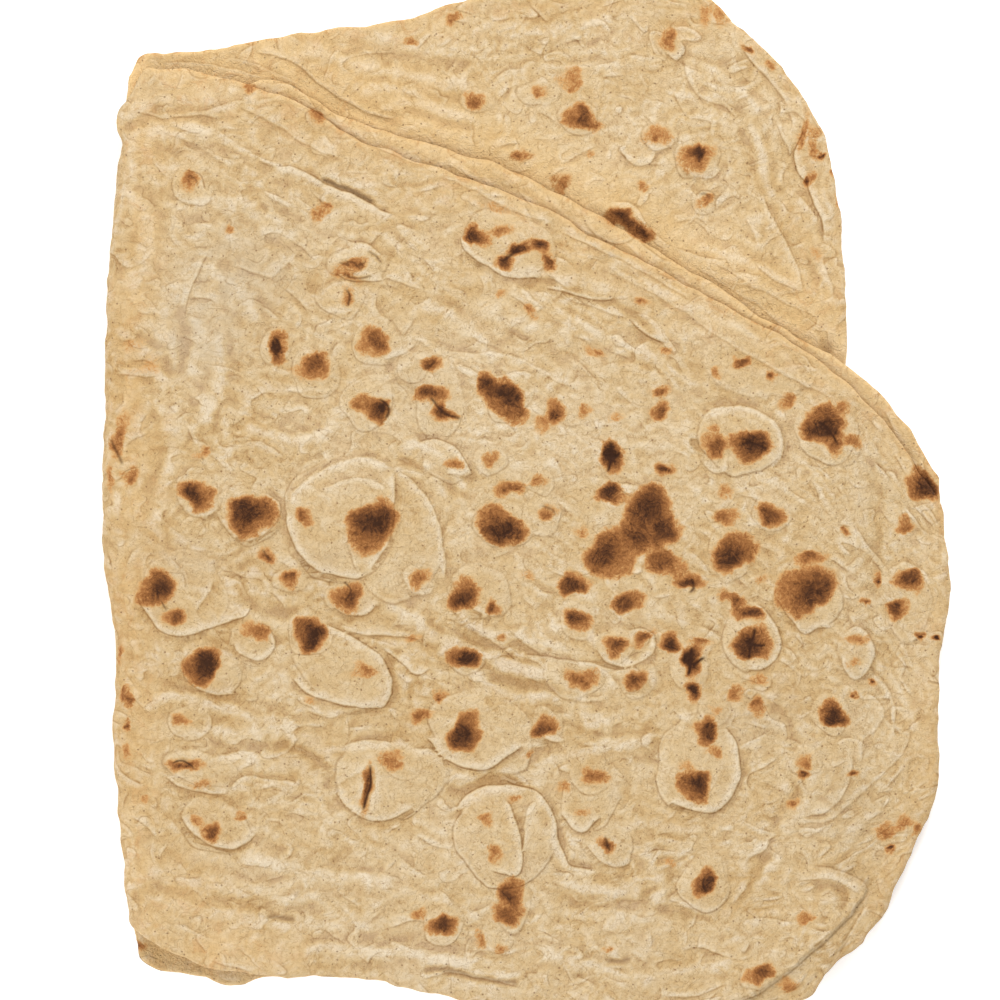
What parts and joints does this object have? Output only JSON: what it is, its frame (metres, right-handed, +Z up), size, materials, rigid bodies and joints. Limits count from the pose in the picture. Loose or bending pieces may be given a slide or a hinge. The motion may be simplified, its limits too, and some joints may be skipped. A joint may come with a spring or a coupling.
{
  "type": "folded lavash flatbread",
  "caption": "Large soft flatbread, folded to a flat layered square with a slanting top flap, with raised blisters and toasted spots.",
  "frame": {"origin": "under the middle of the bread, on the surface that it lies on", "axes": "+Z up, +Y towards the end where the lower layers show past the slanting top flap, -X the round outer fold"},
  "size_m": [0.271, 0.3283, 0.0141],
  "materials": {
    "dough": "matte baked dough with toasted spots"
  },
  "bodies": {
    "root": {"lavash": "dough"}
  },
  "joints": []
}
